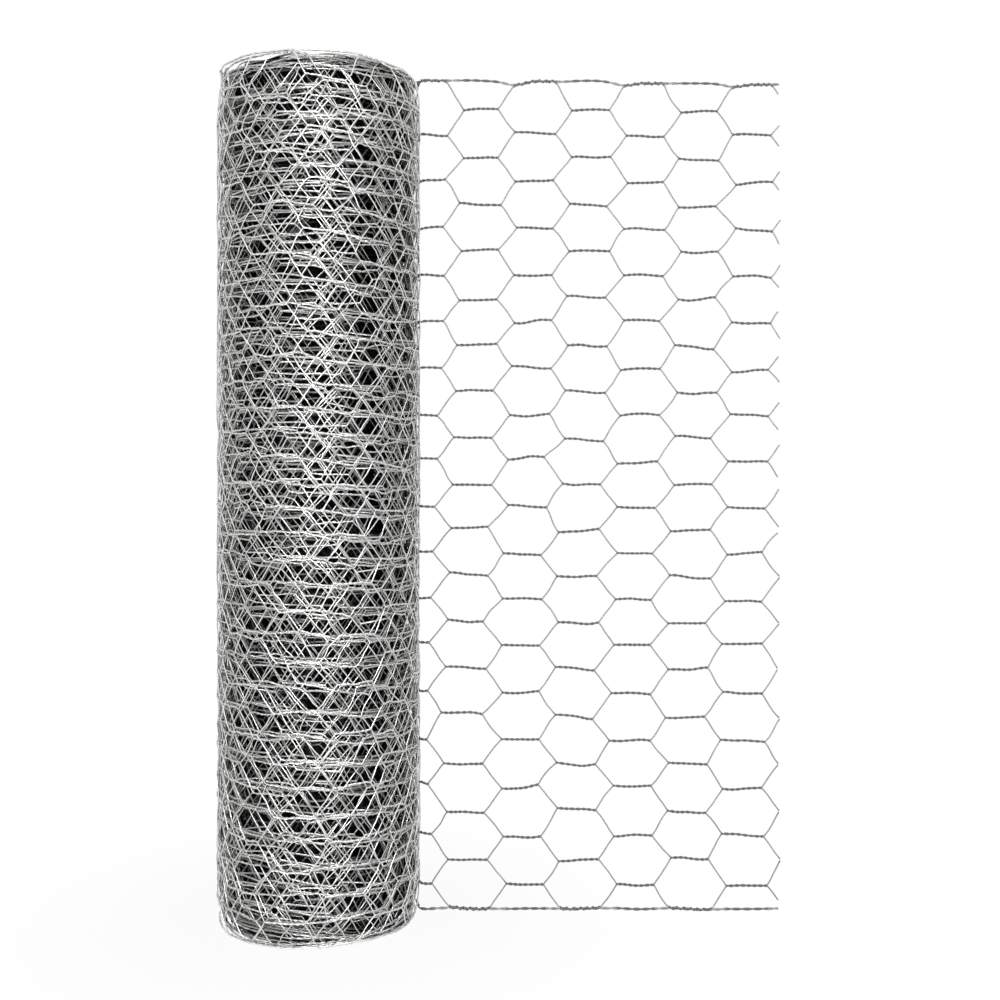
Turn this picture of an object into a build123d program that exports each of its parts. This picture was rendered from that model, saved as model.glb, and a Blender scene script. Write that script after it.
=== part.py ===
"""A roll of hexagonal wire netting that stands on its end, with the last turn drawn out flat.

The roll's axis is Z and its lower end is at z = 0. The drawn-out end leaves the roll
towards +X. Sizes are millimetres, and angles are degrees.
"""

import math
import os

from build123d import *

# The netting, as it is sold: 36 in wide, 2 in mesh, 20 gauge wire
netting_width = 914.4
mesh_size = 52.25
wire_diameter = 0.9
twist_length = 41.5
single_run = 18.5

# The wound roll, whose turns have slipped past each other in bands
roll_radius = 111.0
bore_radius = 32.0
band_width = 7.2
band_slip = 3.0

# The way the drawn-out end leaves the roll: it lies on it, then bends to a flat plane
wrap_angle = 4.0
leaving_angle = 9.0
flat_plane_y = 8.0

# The drawn-out end, whose columns of twisted pairs lean back towards the roll low down: the
# lean follows part of half a sine wave down the netting, and is less at the cut
drawn_out_length = 396.0
first_column_offset = 5.5
lean_depth = 20.5
lean_power = 2.0
lean_wave_share = 0.8
lean_share_at_cut = 0.6

# Its rows hang lower than even spacing in the upper half, and lie higher in the lower half
row_sag = 4.0


def odd_count(length, pitch):
    """Counts the steps along a length, as the odd number whose step is nearest to the pitch."""
    return 2 * round((length / pitch - 1) / 2) + 1


# Worked out from the sizes above
band_count = odd_count(roll_radius - bore_radius, band_width)
band_step = (roll_radius - bore_radius) / band_count
row_count = odd_count(2 * netting_width, mesh_size)
row_pitch = netting_width / row_count
pair_width = 2 * wire_diameter
column_pitch = twist_length + single_run
column_count = math.ceil(drawn_out_length / column_pitch) + 1
contact_radius = roll_radius + wire_diameter / 2
leaving_sine = math.sin(math.radians(leaving_angle))
bend_radius = (contact_radius * leaving_sine - flat_plane_y) / (1 - leaving_sine)
bend_end_x = (contact_radius + bend_radius) * math.cos(math.radians(leaving_angle))
bend_centre = (bend_end_x, flat_plane_y + bend_radius)
cut_x = roll_radius + drawn_out_length
first_column_x = roll_radius + first_column_offset


def on_netting(x, row):
    """Places a point of the netting as it hangs, from its place on netting pulled true."""
    along = (x - first_column_x) / (cut_x - first_column_x)
    share = 1 + (lean_share_at_cut - 1) * along
    lean = lean_depth * share * math.sin(math.pi * lean_wave_share * (row / row_count) ** lean_power)
    sag = row_sag * math.sin(2 * math.pi * row / row_count)
    return Vector(x - lean, netting_width - row * row_pitch - sag)


def pair_ends(column, row):
    """Gives the left and right ends of the twisted pair in a column and a row."""
    middle = first_column_x + column * column_pitch
    return [on_netting(middle + side * twist_length / 2, row) for side in (-1, 1)]


def off_wire(joint, far_joint, side, half_bar=0.0):
    """Steps from a joint along its single wire, past its bar, then sideways off that wire."""
    half_wire = wire_diameter / 2 * math.hypot(single_run, row_pitch) / row_pitch
    return joint + (far_joint - joint) * (half_bar / row_pitch) + Vector(side * half_wire, 0)


def opening(column, row):
    """Makes the gap in the mesh whose middle is in a column and a row.

    Twisted pairs lie above and below the gap, and others end at its two tips. A gap whose
    middle is on a selvedge is half a gap, with the selvedge in place of a pair and the tips.
    """
    left_tip = pair_ends(column - 1, row)[1]
    right_tip = pair_ends(column + 1, row)[0]
    on_selvedge = row in (0, row_count)
    inner_rows = [next_row for next_row in (row - 1, row + 1) if 0 <= next_row <= row_count]
    outline = []
    for next_row in inner_rows:
        start, end = pair_ends(column, next_row)
        half_bar = pair_width if next_row in (0, row_count) else pair_width / 2
        outline += [off_wire(start, left_tip, 1, half_bar), off_wire(end, right_tip, -1, half_bar)]
        if on_selvedge:
            outline += [off_wire(right_tip, end, -1, pair_width), off_wire(left_tip, start, 1, pair_width)]
    if not on_selvedge:
        upper, lower = outline[:2], outline[2:]
        right, left = off_wire(right_tip, right_tip, -1), off_wire(left_tip, left_tip, 1)
        outline = [*upper, right, *reversed(lower), left]
    return Polygon(*outline, align=None, mode=Mode.PRIVATE)


os.makedirs("parts", exist_ok=True)

# The wound roll is turned. On its ends, its bands of turns stand proud or lie sunk, one after another
with BuildPart() as wound_roll:
    with BuildSketch(Plane.XZ):
        for band in range(band_count):
            middle = roll_radius - (band + 0.5) * band_step
            with Locations((middle, band_slip * (band % 2))):
                Rectangle(band_step, netting_width, align=(Align.CENTER, Align.MIN))
    revolve(axis=Axis.Z)

# The drawn-out end is a bent sheet as thick as the wire, with the gaps of the mesh cut through
with BuildPart() as drawn_out_netting:
    with BuildSketch(Plane.XY):
        with BuildLine():
            CenterArc((0, 0), contact_radius, leaving_angle, wrap_angle)
            CenterArc(bend_centre, bend_radius, 180 + leaving_angle, 90 - leaving_angle)
            Line((bend_end_x, flat_plane_y), (cut_x, flat_plane_y))
        trace(line_width=wire_diameter)
    extrude(amount=netting_width)
    with BuildSketch(Plane.XZ.offset(-roll_radius)):
        places = [(column, row) for column in range(column_count) for row in range(row_count + 1)]
        add([opening(column, row) for column, row in places if (column - row) % 2])
    extrude(amount=roll_radius, mode=Mode.SUBTRACT)

wound_roll.part.label = "wound_roll"
export_step(wound_roll.part, "parts/wound_roll.step")
drawn_out_netting.part.label = "drawn_out_netting"
export_step(drawn_out_netting.part, "parts/drawn_out_netting.step")
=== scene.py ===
"""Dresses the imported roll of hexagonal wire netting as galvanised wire, and lights it plainly.

Every length is in metres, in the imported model's frame: the roll's axis is Z, its lower end is
at z = 0, and the drawn-out end of the netting points along +X. The photographed side is -Y.
"""

from __future__ import annotations

import logging
import math
from dataclasses import asdict, dataclass, fields, replace
from enum import Enum
from typing import Any

import bpy
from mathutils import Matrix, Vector

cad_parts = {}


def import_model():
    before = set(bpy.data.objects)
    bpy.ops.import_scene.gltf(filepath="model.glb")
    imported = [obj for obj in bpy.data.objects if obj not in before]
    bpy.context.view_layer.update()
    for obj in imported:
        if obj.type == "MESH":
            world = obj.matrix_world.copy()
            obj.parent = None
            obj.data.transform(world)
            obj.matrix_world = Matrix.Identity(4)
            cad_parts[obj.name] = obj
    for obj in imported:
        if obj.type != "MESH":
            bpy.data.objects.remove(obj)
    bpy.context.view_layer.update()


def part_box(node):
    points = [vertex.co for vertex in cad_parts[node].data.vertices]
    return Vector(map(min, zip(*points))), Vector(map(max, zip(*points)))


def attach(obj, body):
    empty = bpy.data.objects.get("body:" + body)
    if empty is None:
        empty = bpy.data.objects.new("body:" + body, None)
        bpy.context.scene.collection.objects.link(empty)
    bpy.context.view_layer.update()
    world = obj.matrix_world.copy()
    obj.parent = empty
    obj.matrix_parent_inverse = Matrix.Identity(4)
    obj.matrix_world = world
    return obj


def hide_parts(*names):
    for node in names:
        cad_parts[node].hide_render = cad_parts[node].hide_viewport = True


log = logging.getLogger("wire_netting")

PICTURE_SIDE = 1000

# The attributes that each point of a wire carries
TWISTED = "twisted"
WIRE = "wire"


class Field:
    """A node's output socket, so that a sum on fields is written as one on numbers."""

    def __init__(self, graph: Graph, socket: bpy.types.NodeSocket) -> None:
        """Keeps the graph that the socket's node stands in."""
        self.graph = graph
        self.socket = socket

    def _math(self, operation: str, *others: Field | float) -> Field:
        """Adds a Math node that works on this field and others."""
        return self.graph.math(operation, self, *others)

    def __add__(self, other: Field | float) -> Field:
        """Adds another field or a number."""
        return self._math("ADD", other)

    __radd__ = __add__

    def __sub__(self, other: Field | float) -> Field:
        """Takes another field or a number away."""
        return self._math("SUBTRACT", other)

    def __rsub__(self, other: float) -> Field:
        """Takes this field away from a number."""
        return self.graph.math("SUBTRACT", other, self)

    def __mul__(self, other: Field | float) -> Field:
        """Multiplies by another field or a number."""
        return self._math("MULTIPLY", other)

    __rmul__ = __mul__

    def __truediv__(self, other: Field | float) -> Field:
        """Divides by another field or a number."""
        return self._math("DIVIDE", other)

    def __mod__(self, other: Field | float) -> Field:
        """Gives what is left after whole steps of the other."""
        return self._math("FLOORED_MODULO", other)

    def __pow__(self, other: Field | float) -> Field:
        """Raises to a power."""
        return self._math("POWER", other)

    def __neg__(self) -> Field:
        """Turns the sign round."""
        return self * -1.0

    def __lt__(self, other: Field | float) -> Field:
        """Gives 1 where this field is below the other, and 0 elsewhere."""
        return self._math("LESS_THAN", other)

    def __gt__(self, other: Field | float) -> Field:
        """Gives 1 where this field is above the other, and 0 elsewhere."""
        return self._math("GREATER_THAN", other)

    def floor(self) -> Field:
        """Rounds down."""
        return self._math("FLOOR")

    def sine(self) -> Field:
        """Gives the sine of an angle in radians."""
        return self._math("SINE")

    def cosine(self) -> Field:
        """Gives the cosine of an angle in radians."""
        return self._math("COSINE")

    def root(self) -> Field:
        """Gives the square root."""
        return self._math("SQRT")

    def magnitude(self) -> Field:
        """Takes the sign away."""
        return self._math("ABSOLUTE")

    def at_least(self, low: Field | float) -> Field:
        """Keeps the field from going below a bound."""
        return self._math("MAXIMUM", low)

    def at_most(self, high: Field | float) -> Field:
        """Keeps the field from going above a bound."""
        return self._math("MINIMUM", high)

    def between(self, low: Field | float, high: Field | float) -> Field:
        """Keeps the field between two bounds."""
        return self.at_least(low).at_most(high)

    def mix(self, start: Field | float, end: Field | float) -> Field:
        """Goes from a start to an end as this field goes from 0 to 1."""
        return start + (end - start) * self


class Graph:
    """Adds nodes to a shader's or a geometry modifier's tree.

    Attributes:
        FIRST_COLOUR: The Mix node's input for the colour at a share of 0.
        SECOND_COLOUR: Its input for the colour at a share of 1.
        MIXED_COLOUR: Its output for the mixed colour.
        NOISE_SPREAD: What brings the noise, which keeps close to its middle, to about -1 to 1.
    """

    FIRST_COLOUR = 6
    SECOND_COLOUR = 7
    MIXED_COLOUR = 2
    NOISE_SPREAD = 4.0

    def __init__(self, tree: bpy.types.NodeTree) -> None:
        """Takes the tree that the nodes go into."""
        self.tree = tree

    def node(
        self,
        kind: str,
        settings: dict[str, Any] | None = None,
        values: dict[str | int, Any] | None = None,
    ) -> bpy.types.Node:
        """Adds a node.

        Args:
            kind: The node's type.
            settings: Properties of the node, set first.
            values: Numbers or links for its input sockets, by their name or their index.

        Returns:
            The new node.
        """
        node = self.tree.nodes.new(kind)
        for name, value in (settings or {}).items():
            setattr(node, name, value)
        for key, value in (values or {}).items():
            self.feed(node.inputs[key], value)
        return node

    def feed(self, socket: bpy.types.NodeSocket, value: Any) -> None:
        """Links a field or a socket to an input, or sets the input to a plain value."""
        if isinstance(value, Field):
            value = value.socket
        if isinstance(value, bpy.types.NodeSocket):
            self.tree.links.new(value, socket)
        else:
            socket.default_value = value

    def field(self, node: bpy.types.Node, output: str | int = 0) -> Field:
        """Wraps one of a node's outputs."""
        return Field(self, node.outputs[output])

    def math(self, operation: str, *terms: Field | float) -> Field:
        """Adds a Math node.

        Args:
            operation: The Math node's operation.
            terms: One to three fields or numbers.

        Returns:
            The node's result.
        """
        values = dict(enumerate(terms))
        return self.field(self.node("ShaderNodeMath", {"operation": operation}, values))

    def vector(self, x: Field | float, y: Field | float, z: Field | float) -> Field:
        """Joins three fields to a vector."""
        return self.field(self.node("ShaderNodeCombineXYZ", values={0: x, 1: y, 2: z}))

    def parts(self, vector: Field | bpy.types.NodeSocket) -> tuple[Field, Field, Field]:
        """Splits a vector, or a colour, into its three fields."""
        split = self.node("ShaderNodeSeparateXYZ", values={0: vector})
        return self.field(split, 0), self.field(split, 1), self.field(split, 2)

    def colour_mix(
        self,
        share: Field | float,
        start: Any,
        end: Any,
        blend: str = "MIX",
    ) -> bpy.types.NodeSocket:
        """Goes from one colour to another, or to their blend, as a share goes from 0 to 1."""
        settings = {"data_type": "RGBA", "blend_type": blend}
        values = {"Factor": share, self.FIRST_COLOUR: start, self.SECOND_COLOUR: end}
        return self.node("ShaderNodeMix", settings, values).outputs[self.MIXED_COLOUR]

    def tinted(self, colour: Any, tint: tuple[float, ...]) -> bpy.types.NodeSocket:
        """Multiplies a colour by a tint."""
        return self.colour_mix(1.0, colour, tint, "MULTIPLY")

    def noise(self, place: Field, scale: float, layers: float) -> tuple[Field, Field, Field]:
        """Gives three smooth random fields that run from about -1 to 1.

        Args:
            place: The vector that the noise is read at.
            scale: How many lumps there are to a metre.
            layers: How many finer layers the noise has.

        Returns:
            The three fields.
        """
        values = {"Vector": place, "Scale": scale, "Detail": layers}
        lumps = self.node("ShaderNodeTexNoise", {"noise_dimensions": "3D"}, values)
        parts = self.parts(lumps.outputs["Color"])
        return tuple((part - 0.5) * self.NOISE_SPREAD for part in parts)


@dataclass(frozen=True)
class NettingSizes:
    """Sizes of the netting and of its path, from the cut across the drawn-out end to the bore.

    A place along the netting, such as cut_place, is the X that it has on the flat stretch, and
    it goes on falling round the turns. Rows are counted down from the upper selvedge.

    Attributes:
        netting_width: The netting's width, which is its height as it stands.
        cut_place: The place of the cut across the drawn-out end.
        first_column_place: The place of the first column of twisted pairs past the roll.
        roll_radius: The path's radius at the outer turn.
        bore_radius: The radius of the roll's bore.
        rows: The number of half meshes from one selvedge to the other.
        row_sag: How far the rows hang below even spacing a quarter of the way down, and lie
            above it three quarters of the way down.
        first_row_sag: How much more the rows next to the upper selvedge hang, at the most.
        flat_column_pitch: The step from column to column on the drawn-out end.
        wound_column_pitch: The step from column to column on the roll.
        pair_length: The length of a twisted pair.
        pair_reach: How far each wire of a pair winds off their middle line.
        selvedge_turns: The turns that a wire makes round a selvedge's strands at each wrap.
        selvedge_reach: How far it winds off the selvedge's middle line.
        selvedge_arch: How far the upper selvedge dips where each wrap begins.
        foot_arch: How far the lower selvedge rises there.
        strand_lay: The length of one turn of a selvedge's two strands.
        lean_depth: How far the columns lean back towards the roll, low down.
        lean_power: How late that lean sets in on the way down.
        lean_wave_share: The part of half a sine wave that the lean follows.
        lean_share_at_cut: The share of the lean that is left at the cut.
        fall_at_cut: How far the upper selvedge hangs at the cut.
        lift_at_roll: How far the lower rows are held up where the netting leaves the roll.
        leaving_angle: The angle round the roll at which the netting leaves it.
        flat_plane: The Y of the plane that the drawn-out end hangs in.
        turn_spacing: The distance from one turn to the next.
        waviness: The size of the waves that the netting has from the machine.
        kinks: The size of its short kinks.
        looseness: How far a turn stands off its path, in and out.
        flatness: How far the middle of a pair lies in from its ends.
        spare_height: The room above the netting's width for the turns that have slipped up.
        slip: How far turns have slipped up or down past each other.
        slip_start: The wound length over which the turns come loose.
        gather: How much a turn's rows are drawn together at the roll's ends.
        drift: How far the mesh has drifted along its turn.
        row_drift: How far it has drifted up or down.
        draw_in: How far the turns are drawn in at the roll's rims.
        leg_ease: How far a single wire bends like an S from one pair to the next.
    """

    netting_width: float
    cut_place: float
    first_column_place: float
    roll_radius: float
    bore_radius: float
    rows: float = 35.0
    row_sag: float = 0.004
    first_row_sag: float = 0.0055
    flat_column_pitch: float = 0.060
    wound_column_pitch: float = 0.0596
    pair_length: float = 0.0415
    pair_reach: float = 0.00062
    selvedge_turns: float = 6.0
    selvedge_reach: float = 0.00135
    selvedge_arch: float = 0.0032
    foot_arch: float = 0.0008
    strand_lay: float = 0.022
    lean_depth: float = 0.0205
    lean_power: float = 2.0
    lean_wave_share: float = 0.8
    lean_share_at_cut: float = 0.6
    fall_at_cut: float = 0.004
    lift_at_roll: float = 0.004
    leaving_angle: float = math.radians(9.0)
    flat_plane: float = 0.008
    turn_spacing: float = 0.00062
    waviness: float = 0.0026
    kinks: float = 0.0010
    looseness: float = 0.0008
    flatness: float = 0.0012
    spare_height: float = 0.0028
    slip: float = 0.0070
    slip_start: float = 0.70
    gather: float = 0.050
    drift: float = 0.018
    row_drift: float = 0.014
    draw_in: float = 0.0065
    leg_ease: float = 0.0

    @property
    def columns_wound(self) -> int:
        """Counts the columns of twisted pairs from the first one to the bore."""
        wound = math.pi * (self.roll_radius**2 - self.bore_radius**2) / self.turn_spacing
        return int(wound / self.wound_column_pitch)


@dataclass(frozen=True)
class Fineness:
    """How finely wires are made.

    Attributes:
        pair_points: The points along a twisted pair.
        leg_points: The points along a leg, which is a single wire between two pairs.
        sides: The sides of a wire's section.
        pair_turns: The turns of a twisted pair, or 0 where its wires lie side by side.
    """

    pair_points: int
    leg_points: int
    sides: int
    pair_turns: float


class Detail(Enum):
    """The fineness of each kind of stretch, which is plainer the less it shows."""

    DRAWN_OUT = Fineness(33, 7, 5, 3.5)
    OUTER = Fineness(21, 3, 4, 3.5)
    SECOND = Fineness(21, 3, 3, 3.5)
    MIDDLE = Fineness(13, 1, 3, 4.0)
    CORE = Fineness(2, 0, 3, 0.0)
    TIGHT_CORE = Fineness(3, 0, 3, 0.0)


@dataclass(frozen=True)
class Stretch:
    """A stretch of the netting that is made as one piece.

    Attributes:
        name: The piece's name.
        first_column: The column it starts at. Columns on the roll are below 0.
        columns: The number of its columns.
        detail: How finely it is made.
    """

    name: str
    first_column: int
    columns: int
    detail: Detail


class NettingTree:
    """A geometry tree that twists, waves and winds the wires of one stretch of netting.

    Attributes:
        SPARE_WIRES: The wires past the rows on each side, for the selvedges' strands.
        SAGGING_ROWS: The rows over which first_row_sag fades.
        WAVES_PER_METRE: How close the machine's waves lie.
        KINKS_PER_METRE: How close its kinks lie.
        DRIFTS_PER_METRE: How fast the drift changes along a turn.
        DRIFT_PER_DEPTH: How much faster it changes from turn to turn.
        SLIPS_PER_METRE: How fast the slip changes along a turn.
        SLIP_PER_DEPTH: How much faster it changes from turn to turn.
        SELVEDGE_HOLD: The distance from a selvedge at which the netting waves in full.
        SELVEDGE_FREEDOM: The share of the waves that a selvedge has.
        DRIFT_HOLD: The distance from a selvedge at which the netting drifts in full.
        SELVEDGE_DRIFT: The share of the drift that a selvedge has.
        DIP_SHARPNESS: How narrow the dips of a selvedge are.
        DIP_PLACE: How far before a column's middle they lie, in columns.
        STRAIGHT_COLUMNS: The columns to each side of the first one in which nothing dips.
        LIFT_HEIGHT: The height below which lift_at_roll fades.
        LIFT_LOST_AT_CUT: The share of that lift that is lost at the cut.
        GATHER_START: The wound length, in slip_start, over which the rows come to gather.
        GATHER_SPREAD: How much the gathering differs from place to place.
        GATHER_MEAN: The share of it that all places have.
        LEAST_GATHER: The least share, which is below 0 where the rows spread.
        RIM_HEIGHT: The height of the rim that draw_in rounds.
        OUTER_SLACK: How far outside roll_radius the surface of a wire may bulge.
        ON_PAIR: The place on a leg below which a point still lies on its pair.
        STRETCH_INPUTS: The types of the inputs that differ from stretch to stretch.
    """

    SPARE_WIRES = 2
    SAGGING_ROWS = 8.0
    WAVES_PER_METRE = 17.0
    KINKS_PER_METRE = 90.0
    DRIFTS_PER_METRE = 3.0
    DRIFT_PER_DEPTH = 260.0
    SLIPS_PER_METRE = 2.5
    SLIP_PER_DEPTH = 180.0
    SELVEDGE_HOLD = 0.05
    SELVEDGE_FREEDOM = 0.3
    DRIFT_HOLD = 0.045
    SELVEDGE_DRIFT = 0.6
    DIP_SHARPNESS = 9.0
    DIP_PLACE = 0.35
    STRAIGHT_COLUMNS = 0.6
    LIFT_HEIGHT = 0.03
    LIFT_LOST_AT_CUT = 0.4
    GATHER_START = 3.0
    GATHER_SPREAD = 0.6
    GATHER_MEAN = 0.22
    LEAST_GATHER = -0.05
    RIM_HEIGHT = 0.035
    OUTER_SLACK = 0.0003
    ON_PAIR = 0.001
    STRETCH_INPUTS = {
        "First Column": "NodeSocketInt",
        "Columns": "NodeSocketInt",
        "Pair Points": "NodeSocketInt",
        "Leg Points": "NodeSocketInt",
        "Sides": "NodeSocketInt",
        "Pair Turns": "NodeSocketFloat",
        "Wire Radius": "NodeSocketFloat",
        "Finish": "NodeSocketMaterial",
    }

    def __init__(self) -> None:
        """Builds the tree."""
        self.tree = bpy.data.node_groups.new("wire_netting", "GeometryNodeTree")
        self.graph = Graph(self.tree)
        self._add_sockets()
        source = self.graph.node("NodeGroupInput")
        named = [socket.name for socket in source.outputs if socket.name]
        self.given = {name: self.graph.field(source, name) for name in named}
        self._build()

    def _add_sockets(self) -> None:
        """Gives the tree its named inputs and its output."""
        interface = self.tree.interface
        interface.new_socket("Geometry", in_out="INPUT", socket_type="NodeSocketGeometry")
        for name, kind in self.STRETCH_INPUTS.items():
            interface.new_socket(name, in_out="INPUT", socket_type=kind)
        for size in fields(NettingSizes):
            name = self.title(size.name)
            interface.new_socket(name, in_out="INPUT", socket_type="NodeSocketFloat")
        interface.new_socket("Geometry", in_out="OUTPUT", socket_type="NodeSocketGeometry")

    @staticmethod
    def title(name: str) -> str:
        """Turns a size's name into its input's name."""
        return name.replace("_", " ").title()

    def size(self, name: str) -> Field:
        """Gives the input of one of the netting's sizes."""
        return self.given[self.title(name)]

    def _build(self) -> None:
        """Joins the tree's steps: points on wires, wires to tubes, and the finish."""
        graph, given = self.graph, self.given
        wires = self.size("rows") + 2 * self.SPARE_WIRES
        run = given["Columns"] * (given["Pair Points"] + given["Leg Points"]) + 1.0
        index = graph.field(graph.node("GeometryNodeInputIndex"))
        wire = ((index + 0.5) / run).floor()
        place, twisted = self._point_on_wire(wire, index - wire * run)
        points = graph.node("GeometryNodePoints", values={"Count": wires * run, "Position": place})
        numbered = self._store(points.outputs[0], WIRE, "INT", wire)
        named = self._store(numbered, TWISTED, "FLOAT", twisted)
        here = graph.node("GeometryNodeInputPosition").outputs[0]
        cut = self.size("cut_place") - given["Wire Radius"]
        trimmed = graph.node(
            "GeometryNodeDeleteGeometry",
            {"domain": "POINT"},
            {"Geometry": named, "Selection": graph.parts(here)[0] > cut},
        )
        group = graph.node("GeometryNodeInputNamedAttribute", {"data_type": "INT"}, {"Name": WIRE})
        curves = graph.node(
            "GeometryNodePointsToCurves",
            values={"Points": trimmed.outputs[0], "Curve Group ID": group.outputs[0]},
        )
        section = graph.node(
            "GeometryNodeCurvePrimitiveCircle",
            values={"Resolution": given["Sides"], "Radius": given["Wire Radius"]},
        )
        tubes = graph.node(
            "GeometryNodeCurveToMesh",
            values={
                "Curve": curves.outputs[0],
                "Profile Curve": section.outputs[0],
                "Fill Caps": True,
            },
        )
        smooth = graph.node("GeometryNodeSetShadeSmooth", values={"Geometry": tubes.outputs[0]})
        real = graph.node("GeometryNodeRealizeInstances", values={"Geometry": smooth.outputs[0]})
        dressed = graph.node(
            "GeometryNodeSetMaterial",
            values={"Geometry": real.outputs[0], "Material": given["Finish"]},
        )
        graph.node("NodeGroupOutput", values={"Geometry": dressed.outputs[0]})

    def _store(
        self,
        points: bpy.types.NodeSocket,
        name: str,
        kind: str,
        value: Field,
    ) -> bpy.types.NodeSocket:
        """Stores a field on points as a named attribute."""
        settings = {"data_type": kind, "domain": "POINT"}
        values = {"Geometry": points, "Name": name, "Value": value}
        return self.graph.node("GeometryNodeStoreNamedAttribute", settings, values).outputs[0]

    def _point_on_wire(self, wire: Field, place: Field) -> tuple[Field, Field]:
        """Works out where a point of a wire lies.

        Args:
            wire: The wire's number, counted from the spare wires above the upper selvedge.
            place: The point's number along its wire.

        Returns:
            The point's position, and 1 where its wire is twisted with another.
        """
        size, given = self.size, self.given
        step = given["Pair Points"] + given["Leg Points"]
        column_step = ((place + 0.5) / step).floor()
        point = place - column_step * step
        column = given["First Column"] + column_step
        row_above = wire - float(self.SPARE_WIRES)
        low = (column + row_above) % 2.0
        here = (row_above + low).between(0.0, size("rows"))
        there = (row_above + 1.0 - low).between(0.0, size("rows"))
        along_pair = (point / (given["Pair Points"] - 1.0)).at_most(1.0)
        past_pair = point - given["Pair Points"] + 1.0
        along_leg = (past_pair / (given["Leg Points"] + 1.0)).at_least(0.0)

        pair_place = self._column_place(column) + (along_pair - 0.5) * size("pair_length")
        leg_end = self._column_place(column + 1.0) - size("pair_length") * 0.5
        along = along_leg.mix(pair_place, leg_end)
        eased = along_leg - (along_leg * math.tau).sine() * (size("leg_ease") / math.tau)
        row = eased.mix(here, there)
        rise, depth = self._twist(row_above, low, here, there, along_pair, along_leg, along)
        pair_share = size("pair_length") / size("flat_column_pitch")
        columns_on = column + (along_pair - 0.5) * pair_share + along_leg * (1.0 - pair_share)
        along = along - self._lean(along, row)
        height = self._hang(row, columns_on) + rise
        in_pair = along_leg < self.ON_PAIR
        hollow = (1.0 - (along_pair * 2.0 - 1.0) ** 2.0) * in_pair
        depth = depth - hollow * size("flatness")
        return self._wave_and_wind(along, height, depth), in_pair

    def _hang(self, row: Field, columns_on: Field) -> Field:
        """Works out the height of a row, whose selvedges dip where each wrap begins.

        Args:
            row: The row, counted down from the upper selvedge.
            columns_on: The place along the netting, in columns from the first one.

        Returns:
            The height.
        """
        size, width = self.size, self.size("netting_width")
        fallen = row / size("rows")
        height = width * (1.0 - fallen) - size("row_sag") * (fallen * math.tau).sine()
        edge = size("selvedge_reach") + self.given["Wire Radius"]
        top = width + size("spare_height") - edge
        near_top = (1.0 - row / self.SAGGING_ROWS).at_least(0.0) * row.at_most(1.0)
        height = height - size("first_row_sag") * near_top
        height = (height + size("spare_height") * (1.0 - row).at_least(0.0)).between(edge, top)
        wave = ((columns_on + self.DIP_PLACE) * math.pi).cosine() * 0.5
        clear = columns_on.magnitude() > self.STRAIGHT_COLUMNS
        upper = (1.0 - row).at_least(0.0) * (0.5 + wave) ** self.DIP_SHARPNESS
        lower = (row + 1.0 - size("rows")).at_least(0.0) * (0.5 - wave) ** self.DIP_SHARPNESS
        return height + (lower * size("foot_arch") - upper * size("selvedge_arch")) * clear

    def _column_place(self, column: Field) -> Field:
        """Gives the place of a column's middle along the netting."""
        flat = column.at_least(0.0) * self.size("flat_column_pitch")
        wound = column.at_most(0.0) * self.size("wound_column_pitch")
        return self.size("first_column_place") + flat + wound

    def _flat_share(self, along: Field) -> Field:
        """Gives 0 on the roll, and goes to 1 at the cut across the drawn-out end."""
        first, cut = self.size("first_column_place"), self.size("cut_place")
        return ((along - first) / (cut - first)).between(0.0, 1.0)

    def _lean(self, along: Field, row: Field) -> Field:
        """Works out how far a column leans back towards the roll at a row."""
        size = self.size
        share = self._flat_share(along).mix(1.0, size("lean_share_at_cut"))
        fallen = (row / size("rows")) ** size("lean_power")
        return size("lean_depth") * share * (fallen * size("lean_wave_share") * math.pi).sine()

    def _twist(
        self,
        row_above: Field,
        low: Field,
        here: Field,
        there: Field,
        along_pair: Field,
        along_leg: Field,
        along: Field,
    ) -> tuple[Field, Field]:
        """Works out how far a wire is off the middle line of its pair, or of the selvedge.

        Args:
            row_above: The row above the wire, which is below 0 on the upper selvedge's strands.
            low: 1 where the wire is the upper one of a pair in the row below it, and 0 elsewhere.
            here: The row of the wire's pair.
            there: The row of its next pair.
            along_pair: How far along its pair the point is, from 0 to 1.
            along_leg: How far along the leg after its pair the point is, from 0 to 1.
            along: The point's place along the netting.

        Returns:
            The rise up the netting, and the depth out of it.
        """
        size, rows = self.size, self.size("rows")
        strand = (row_above < -0.5) + (row_above > rows - 0.5)
        side = low * 2.0 - 1.0
        edge_here = (here < 0.5) + (here > rows - 0.5)
        edge_there = (there < 0.5) + (there > rows - 0.5)
        reach_here = edge_here.mix(size("pair_reach"), size("selvedge_reach"))
        reach_there = edge_there.mix(size("pair_reach"), size("selvedge_reach"))
        twisted = self.given["Pair Turns"] > 0.5
        turns = edge_here.mix(self.given["Pair Turns"], size("selvedge_turns")) * twisted
        angle = side * (math.pi / 2) + along_pair * turns * math.tau
        rise = along_leg.mix(reach_here * angle.sine(), -side * reach_there)
        depth = reach_here * angle.cosine() * (1.0 - along_leg)
        strand_angle = along / size("strand_lay") * math.tau + row_above * math.pi
        strand_rise = size("pair_reach") * strand_angle.sine()
        strand_depth = size("pair_reach") * strand_angle.cosine()
        return strand.mix(rise, strand_rise), strand.mix(depth, strand_depth)

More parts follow.
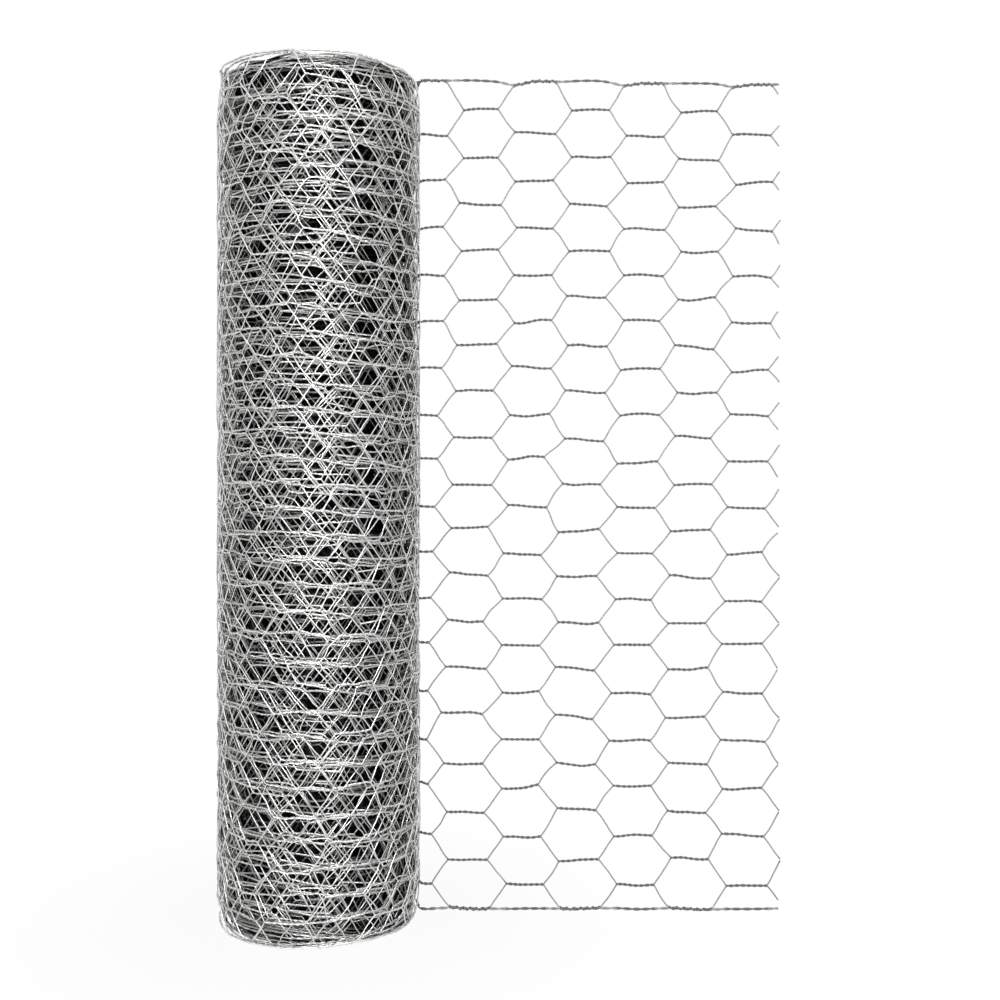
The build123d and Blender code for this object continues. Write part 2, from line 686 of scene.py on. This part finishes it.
    def _wave_and_wind(self, along: Field, height: Field, depth: Field) -> Field:
        """Waves the netting as it comes off a machine, loosens it and lays it on its path.

        Args:
            along: A point's place along the netting.
            height: Its height.
            depth: How far it is out of the netting, away from the roll's axis.

        Returns:
            The point's position.
        """
        size, width = self.size, self.size("netting_width")
        wound = self._wound_length(along)
        on_roll = wound > 0.0
        slipping = (wound / size("slip_start")).at_most(1.0)
        from_selvedge = (width * 0.5 - (height - width * 0.5).magnitude()).at_least(0.0)
        loose = (from_selvedge / self.DRIFT_HOLD).between(self.SELVEDGE_DRIFT, 1.0) * slipping

        here = self.graph.vector(along, height, 0.0)
        wave_x, wave_z, wave_y = self.graph.noise(here, self.WAVES_PER_METRE, layers=1.0)
        kink_x, kink_z, _ = self.graph.noise(here, self.KINKS_PER_METRE, layers=0.0)
        lap_x, lap_y, sunk = self._place_on_lap(wound)
        lap = self.graph.vector(lap_x, lap_y, height + sunk * self.DRIFT_PER_DEPTH)
        drift_x, drift_z, _ = self.graph.noise(lap, self.DRIFTS_PER_METRE, layers=1.0)

        free = (from_selvedge / self.SELVEDGE_HOLD).between(self.SELVEDGE_FREEDOM, 1.0)
        rise = (wave_z * size("waviness") + kink_z * size("kinks")) * free
        rise = rise + drift_z * size("row_drift") * loose
        rise = rise + self._slip_and_gather(wound, height) + self._hold_up(along, height)
        edge = self.given["Wire Radius"] + size("pair_reach")
        height = (height + rise).between(edge, width - edge + size("spare_height"))
        along = along + wave_x * size("waviness") + kink_x * size("kinks")
        along = along + drift_x * size("drift") * loose
        depth = depth + wave_y * on_roll.mix(size("waviness"), size("looseness"))
        at_rim = (1.0 - from_selvedge / self.RIM_HEIGHT).at_least(0.0) ** 2.0
        x, y = self._lay(along, depth, at_rim * slipping, on_roll)
        return self.graph.vector(x, y, height)

    def _place_on_lap(self, wound: Field) -> tuple[Field, Field, Field]:
        """Works out where a wound length lies on the outer turn, and how deep it is below it."""
        radius, turned = self._radius_and_turn(wound)
        outer = self.size("roll_radius")
        return outer * turned.cosine(), outer * turned.sine(), outer - radius

    def _slip_and_gather(self, wound: Field, height: Field) -> Field:
        """Works out how far the turns slip past each other, and their rows draw together."""
        size, width = self.size, self.size("netting_width")
        lap_x, lap_y, sunk = self._place_on_lap(wound)
        lap = self.graph.vector(lap_x, lap_y, sunk * self.SLIP_PER_DEPTH)
        slip, gather, _ = self.graph.noise(lap, self.SLIPS_PER_METRE, layers=1.0)
        unheld = wound / size("slip_start")
        from_middle = height - width * 0.5
        at_end = (from_middle / width * 2.0) ** 2.0
        share = (gather * self.GATHER_SPREAD + self.GATHER_MEAN).between(self.LEAST_GATHER, 1.0)
        share = share * at_end * (unheld / self.GATHER_START).at_most(1.0)
        return slip * size("slip") * unheld.at_most(1.0) - from_middle * size("gather") * share

    def _hold_up(self, along: Field, height: Field) -> Field:
        """Works out how the roll holds the lower rows up, and how the upper ones hang."""
        size, risen = self.size, height / self.size("netting_width")
        held = (1.0 - self._wound_length(along) / size("slip_start")).at_least(0.0)
        drawn_back = self._flat_share(along)
        fallen = size("fall_at_cut") * drawn_back * risen
        lifted = size("lift_at_roll") * (1.0 - drawn_back * self.LIFT_LOST_AT_CUT) * (1.0 - risen)
        return (lifted * (height / self.LIFT_HEIGHT).at_most(1.0) - fallen) * held

    def _lay(
        self,
        along: Field,
        depth: Field,
        at_rim: Field,
        on_roll: Field,
    ) -> tuple[Field, Field]:
        """Lays a place along the netting on its path.

        Args:
            along: The place along the netting.
            depth: How far it is out of the netting, away from the roll's axis.
            at_rim: 1 at the rims of the roll, where its turns are drawn in, and 0 elsewhere.
            on_roll: 1 on the roll, and 0 on the bend and on the flat stretch.

        Returns:
            The X and the Y.
        """
        size, bend = self.size, self._bend_radius()
        off_flat = self._bend_end() - along
        bent = off_flat.between(0.0, self._bend_length()) / bend
        bend_x = self._bend_end() - off_flat.at_most(0.0) - bend * bent.sine()
        bend_y = size("flat_plane") + bend * (1.0 - bent.cosine())
        radius, turned = self._radius_and_turn(self._wound_length(along))
        from_bore = (radius - size("bore_radius")) / (size("roll_radius") - size("bore_radius"))
        out = radius + depth - size("draw_in") * at_rim * from_bore
        out = out.at_most(size("roll_radius") + self.OUTER_SLACK - self.given["Wire Radius"])
        x = on_roll.mix(bend_x + depth * bent.sine(), out * turned.cosine())
        y = on_roll.mix(bend_y + depth * bent.cosine(), out * turned.sine())
        return x, y

    def _wound_length(self, along: Field) -> Field:
        """Works out the length of netting between the roll's edge and a place on the roll."""
        return (self._bend_end() - along - self._bend_length()).at_least(0.0)

    def _bend_length(self) -> Field:
        """Works out the length of the bend between the flat stretch and the roll."""
        return self._bend_radius() * (math.pi / 2 - self.size("leaving_angle"))

    def _radius_and_turn(self, wound: Field) -> tuple[Field, Field]:
        """Works out the roll's radius, and the angle round it, after a length of wound netting."""
        size = self.size
        taken = size("turn_spacing") * wound / math.pi
        radius = (size("roll_radius") ** 2.0 - taken).at_least(0.0).root()
        turned = (size("roll_radius") - radius) * math.tau / size("turn_spacing")
        return radius, size("leaving_angle") + turned

    def _bend_radius(self) -> Field:
        """Works out the bend between the roll and the flat plane."""
        sine = self.size("leaving_angle").sine()
        return (self.size("roll_radius") * sine - self.size("flat_plane")) / (1.0 - sine)

    def _bend_end(self) -> Field:
        """Works out where the bend ends and the flat stretch begins."""
        from_axis = self.size("roll_radius") + self._bend_radius()
        return from_axis * self.size("leaving_angle").cosine()

    def make(
        self,
        stretch: Stretch,
        sizes: NettingSizes,
        wire_radius: float,
        finish: bpy.types.Material,
    ) -> bpy.types.Object:
        """Makes one stretch of netting as a plain mesh.

        Args:
            stretch: The stretch, and how finely it is made.
            sizes: The netting's sizes.
            wire_radius: The wire's radius.
            finish: The wire's material.

        Returns:
            The finished piece, at the origin.
        """
        piece = bpy.data.objects.new(stretch.name, bpy.data.meshes.new(stretch.name))
        bpy.context.scene.collection.objects.link(piece)
        modifier = piece.modifiers.new("netting", "NODES")
        modifier.node_group = self.tree
        values: dict[str, Any] = {
            "First Column": stretch.first_column,
            "Columns": stretch.columns,
            "Wire Radius": wire_radius,
            "Finish": finish,
        }
        for source in (stretch.detail.value, sizes):
            values.update({self.title(name): value for name, value in asdict(source).items()})
        for item in self.tree.interface.items_tree:
            if item.in_out == "INPUT" and item.name in values:
                modifier[item.identifier] = values[item.name]
        bpy.context.view_layer.update()
        evaluated = piece.evaluated_get(bpy.context.evaluated_depsgraph_get())
        piece.data = bpy.data.meshes.new_from_object(evaluated)
        piece.data.name = stretch.name
        piece.modifiers.clear()
        return piece


@dataclass(frozen=True)
class GalvanisedWire:
    """Zinc on steel wire, with brighter and duller patches and a fine grain.

    Attributes:
        name: The material's name.
        bright: The colour of the brightest zinc.
        dull: The colour of the dullest zinc.
        painted_twist_shade: What the colour is multiplied by where two wires twist, a painted
            shade.
        roughness: The roughness halfway between bright and dull.
        metallic: How metallic the zinc is.
        roughness_spread: How much rougher the dullest zinc is than the brightest.
        patches_per_metre: How close the patches lie.
        grain_per_metre: How close the grain lies.
        grain_share: The grain's share in the mottling.
        grain_depth: How deep the grain's bump is.
        painted_shade_colour: The colour of the wire in full painted shade.
    """

    name: str
    bright: tuple[float, float, float]
    dull: tuple[float, float, float]
    painted_twist_shade: tuple[float, float, float]
    roughness: float
    metallic: float
    roughness_spread: float = 0.14
    patches_per_metre: float = 85.0
    grain_per_metre: float = 1800.0
    grain_share: float = 0.3
    grain_depth: float = 0.00004
    # The colour of the painted shade
    painted_shade_colour: tuple[float, float, float] = (0.012, 0.012, 0.012)

    def shade(self, graph: Graph, place: Field) -> Field | float:
        """Gives how dark the painted shade makes the wire at a place, from 0 to 1."""
        return 0.0

    def material(self) -> bpy.types.Material:
        """Builds the finish's node material."""
        made = bpy.data.materials.new(self.name)
        made.use_nodes = True
        made.node_tree.nodes.clear()
        graph = Graph(made.node_tree)
        place = graph.field(graph.node("ShaderNodeTexCoord"), "Object")
        patch = graph.noise(place, self.patches_per_metre, layers=3.0)[0] * 0.5 + 0.5
        grain = graph.noise(place, self.grain_per_metre, layers=1.0)[0] * 0.5 + 0.5
        mottle = (patch * (1.0 - self.grain_share) + grain * self.grain_share).between(0.0, 1.0)
        zinc = graph.colour_mix(mottle, (*self.dull, 1.0), (*self.bright, 1.0))
        stored = graph.node("ShaderNodeAttribute", {"attribute_name": TWISTED})
        twisted = graph.field(stored, "Fac")
        # Painted shade where two wires are twisted together
        zinc = graph.colour_mix(twisted, zinc, graph.tinted(zinc, (*self.painted_twist_shade, 1.0)))
        # Painted shade: the zinc goes to the shade colour where the painted shade is full
        colour = graph.colour_mix(self.shade(graph, place), zinc, (*self.painted_shade_colour, 1.0))
        rough = self.roughness + (0.5 - mottle) * self.roughness_spread
        bump = graph.node("ShaderNodeBump", values={"Distance": self.grain_depth, "Height": grain})
        surface = graph.node(
            "ShaderNodeBsdfPrincipled",
            values={
                "Base Color": colour,
                "Metallic": self.metallic,
                "Roughness": rough,
                "Normal": bump.outputs[0],
            },
        )
        graph.node("ShaderNodeOutputMaterial", values={"Surface": surface.outputs[0]})
        return made


@dataclass(frozen=True, kw_only=True)
class PaintedShadeWire(GalvanisedWire):
    """Galvanised wire in a roll, darkened by painted shade away from the roll's outside.

    Attributes:
        sizes: The netting's sizes.
        lit_depth: The depth below the outer turn at which the wire begins to darken.
        dark_depth: The depth at which it is darkest.
        end_depth: The distance from an end at which it is as dark as its depth allows.
        bore_depth: The same for the distance from the bore.
    """

    sizes: NettingSizes
    lit_depth: float = 0.0052
    dark_depth: float = 0.0162
    end_depth: float = 0.002
    bore_depth: float = 0.010

    def shade(self, graph: Graph, place: Field) -> Field:
        """Gives the painted shade, from 0 on the roll's outside to 1 deep in it."""
        x, y, z = graph.parts(place)
        radius = (x * x + y * y).root()
        depth = self.sizes.roll_radius - radius
        inwards = (depth - self.lit_depth) / (self.dark_depth - self.lit_depth)
        mid_height = self.sizes.netting_width * 0.5
        from_end = mid_height - (z - mid_height).magnitude()
        outwards = (radius - self.sizes.bore_radius) / self.bore_depth
        # Painted shade, deeper into the roll, lighter near its ends and its bore
        return inwards.at_most(from_end / self.end_depth).at_most(outwards).between(0.0, 1.0)


@dataclass
class WoundRoll:
    """The wound turns, made in stretches that are plainer the deeper they lie.

    Attributes:
        tree: The tree that makes the stretches.
        sizes: The netting's sizes.
        finish: The wire's material.
        wire_radius: The wire's radius.
        core_reach: The pair_reach of the stretches whose pairs aren't twisted.
    """

    tree: NettingTree
    sizes: NettingSizes
    finish: bpy.types.Material
    wire_radius: float = 0.00078
    core_reach: float = 0.0003

    def stretches(self) -> list[Stretch]:
        """Divides the wound netting from the outside in."""
        plan = [
            ("outer_turn_netting", 15, Detail.OUTER),
            ("second_turn_netting", 20, Detail.SECOND),
            ("shaded_turns_netting", 42, Detail.MIDDLE),
            ("upper_core_netting", 330, Detail.CORE),
            ("middle_core_netting", 350, Detail.CORE),
        ]
        made = []
        column = 0
        for name, columns, detail in plan:
            column -= columns
            made.append(Stretch(name, column, columns, detail))
        left = self.sizes.columns_wound + column
        made.append(Stretch("bore_turns_netting", column - left, left, Detail.TIGHT_CORE))
        return made

    def build(self) -> list[bpy.types.Object]:
        """Makes every stretch of the wound netting."""
        pieces = []
        core_sizes = replace(self.sizes, pair_reach=self.core_reach)
        for stretch in self.stretches():
            sizes = self.sizes if stretch.detail.value.pair_turns else core_sizes
            piece = self.tree.make(stretch, sizes, self.wire_radius, self.finish)
            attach(piece, "root")
            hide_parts("wound_roll")
            pieces.append(piece)
        return pieces


@dataclass
class DrawnOutEnd:
    """The free end of the netting, which leaves the roll and hangs flat to its cut.

    Attributes:
        tree: The tree that makes it.
        sizes: The netting's sizes, of which those below are replaced.
        finish: The wire's material.
        wire_radius: The wire's radius.
        columns: The number of its columns.
    """

    tree: NettingTree
    sizes: NettingSizes
    finish: bpy.types.Material
    wire_radius: float = 0.00084
    columns: int = 7
    kinks: float = 0.0002
    waviness: float = 0.0032
    pair_reach: float = 0.00076
    selvedge_reach: float = 0.0016
    leg_ease: float = 0.06

    def build(self) -> list[bpy.types.Object]:
        """Makes the drawn-out netting."""
        stretch = Stretch("drawn_out_wires", 0, self.columns, Detail.DRAWN_OUT)
        sizes = replace(
            self.sizes,
            kinks=self.kinks,
            waviness=self.waviness,
            pair_reach=self.pair_reach,
            selvedge_reach=self.selvedge_reach,
            leg_ease=self.leg_ease,
        )
        piece = self.tree.make(stretch, sizes, self.wire_radius, self.finish)
        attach(piece, "root")
        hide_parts("drawn_out_netting")
        return [piece]


@dataclass(frozen=True)
class Lamp:
    """A square soft lamp: its place, its side and its power in watts."""

    name: str
    place: tuple[float, float, float]
    side: float
    power: float


@dataclass
class Studio:
    """A white room with soft light, and a camera that stands where the photograph was taken.

    Attributes:
        camera_place: Where the camera stands.
        focal_pixels: Its focal length, in pixels of the picture.
        shift_pixels: How far its picture is shifted up, in pixels.
        sensor_width: The width of its sensor, in millimetres.
        floor_radius: Half the side of the floor.
        floor_white: How much light the floor gives back.
        shadow_start: The distance from the roll's axis at which its shadow begins to fade.
        shadow_width: The distance over which it fades.
        shadow_glow: How far the shadow is lightened where it is strongest.
        daylight: The strength of the room's even light.
        lamp_aim: The place that every lamp faces.
        lamps: The lamps.
    """

    camera_place: tuple[float, float, float] = (0.1977, -1.45, 0.520)
    focal_pixels: float = 1323.8
    shift_pixels: float = -61.0
    sensor_width: float = 36.0
    floor_radius: float = 6.0
    floor_white: float = 0.90
    shadow_start: float = 0.13
    shadow_width: float = 0.25
    shadow_glow: float = 0.93
    daylight: float = 0.15
    lamp_aim: tuple[float, float, float] = (0.05, 0.0, 0.45)
    lamps: tuple[Lamp, ...] = (
        Lamp("front_lamp", (0.25, -2.3, 1.0), 0.8, 42.0),
        Lamp("left_lamp", (-1.6, -1.9, 1.5), 1.2, 6.0),
        Lamp("right_lamp", (1.9, -1.7, 1.3), 1.2, 5.0),
        Lamp("top_lamp", (0.1, -0.3, 2.6), 1.4, 4.0),
    )

    def camera(self) -> None:
        """Makes the level camera."""
        data = bpy.data.cameras.new("camera")
        data.sensor_width = self.sensor_width
        data.lens = self.focal_pixels * self.sensor_width / PICTURE_SIDE
        data.shift_y = self.shift_pixels / PICTURE_SIDE
        camera = bpy.data.objects.new("camera", data)
        camera.location = self.camera_place
        camera.rotation_euler = (math.radians(90.0), 0.0, 0.0)
        bpy.context.scene.collection.objects.link(camera)
        bpy.context.scene.camera = camera

    def floor(self) -> None:
        """Lays the pale floor, which shows white but keeps a soft shadow."""
        mesh = bpy.data.meshes.new("floor")
        side = self.floor_radius
        corners = [(-side, -side, 0.0), (side, -side, 0.0), (side, side, 0.0), (-side, side, 0.0)]
        mesh.from_pydata(corners, [], [(0, 1, 2, 3)])
        floor = bpy.data.objects.new("floor", mesh)
        bpy.context.scene.collection.objects.link(floor)
        paint = bpy.data.materials.new("floor_white")
        paint.use_nodes = True
        paint.node_tree.nodes.clear()
        graph = Graph(paint.node_tree)
        place = graph.field(graph.node("ShaderNodeTexCoord"), "Object")
        length = graph.node("ShaderNodeVectorMath", {"operation": "LENGTH"}, {0: place})
        away = (graph.field(length, "Value") - self.shadow_start) / self.shadow_width
        rays = graph.node("ShaderNodeLightPath")
        seen = graph.field(rays, "Is Camera Ray").at_least(graph.field(rays, "Is Glossy Ray"))
        share = seen * away.between(0.0, 1.0).mix(self.shadow_glow, 1.0)
        white = (self.floor_white, self.floor_white, self.floor_white, 1.0)
        matt = graph.node("ShaderNodeBsdfDiffuse", values={"Color": white})
        glow = graph.node("ShaderNodeEmission", values={"Strength": 1.0})
        mixed = graph.node(
            "ShaderNodeMixShader",
            values={0: share, 1: matt.outputs[0], 2: glow.outputs[0]},
        )
        graph.node("ShaderNodeOutputMaterial", values={"Surface": mixed.outputs[0]})
        mesh.materials.append(paint)

    def world(self) -> None:
        """Makes the room's even light, and a white background for the camera and reflections."""
        world = bpy.data.worlds.new("room")
        bpy.context.scene.world = world
        world.use_nodes = True
        world.node_tree.nodes.clear()
        graph = Graph(world.node_tree)
        rays = graph.node("ShaderNodeLightPath")
        kinds = ("Camera", "Glossy", "Transmission")
        camera, glossy, through = (graph.field(rays, f"Is {kind} Ray") for kind in kinds)
        seen = camera.at_least(glossy).at_least(through)
        white = (1.0, 1.0, 1.0, 1.0)
        light = {"Color": white, "Strength": seen.mix(self.daylight, 1.0)}
        even = graph.node("ShaderNodeBackground", values=light)
        graph.node("ShaderNodeOutputWorld", values={"Surface": even.outputs[0]})

    def hang(self, lamp: Lamp) -> None:
        """Hangs a lamp and turns it to its aim."""
        data = bpy.data.lights.new(lamp.name, "AREA")
        data.size = lamp.side
        data.energy = lamp.power
        light = bpy.data.objects.new(lamp.name, data)
        light.location = lamp.place
        towards = Vector(self.lamp_aim) - light.location
        light.rotation_euler = towards.to_track_quat("-Z", "Y").to_euler()
        bpy.context.scene.collection.objects.link(light)

    def build(self) -> None:
        """Makes the room, its lamps and the camera."""
        self.camera()
        self.floor()
        self.world()
        for lamp in self.lamps:
            self.hang(lamp)


def netting_sizes() -> NettingSizes:
    """Reads the netting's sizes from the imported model's boxes.

    The outer turn's path lies a little inside the roll's radius, so that its waves stay in it.
    """
    low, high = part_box("drawn_out_netting")
    roll_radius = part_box("wound_roll")[1].x
    first_column_offset = 0.0055
    room_for_waves = 0.0006
    return NettingSizes(
        netting_width=high.z - low.z,
        cut_place=high.x,
        first_column_place=roll_radius + first_column_offset,
        roll_radius=roll_radius - room_for_waves,
        bore_radius=0.032,
    )


def main() -> None:
    """Builds the netting's pieces in order, and the room round them."""
    logging.basicConfig(level=logging.INFO, format="%(name)s: %(message)s")
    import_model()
    bpy.context.scene.view_settings.view_transform = "Standard"
    sizes = netting_sizes()
    Studio().build()
    tree = NettingTree()
    # One wire in two copies, painted light and shade: bright on the roll, dark on the drawn-out
    # end
    roll_lit_copy = PaintedShadeWire(
        "lit_copy_galvanised_wire",
        bright=(0.97, 0.97, 0.96),
        dull=(0.74, 0.735, 0.725),
        painted_twist_shade=(0.86, 0.855, 0.85),
        roughness=0.26,
        metallic=0.95,
        sizes=sizes,
    ).material()
    end_shaded_copy = GalvanisedWire(
        "dull_galvanised_wire",
        bright=(0.40, 0.388, 0.38),
        dull=(0.30, 0.289, 0.282),
        painted_twist_shade=(0.52, 0.46, 0.465),
        roughness=0.5,
        metallic=0.3,
    ).material()
    for assembly in (DrawnOutEnd(tree, sizes, end_shaded_copy), WoundRoll(tree, sizes, roll_lit_copy)):
        for piece in assembly.build():
            triangles = sum(len(face.vertices) - 2 for face in piece.data.polygons)
            log.info("%s: %d triangles", piece.name, triangles)


if __name__ == "__main__":
    main()
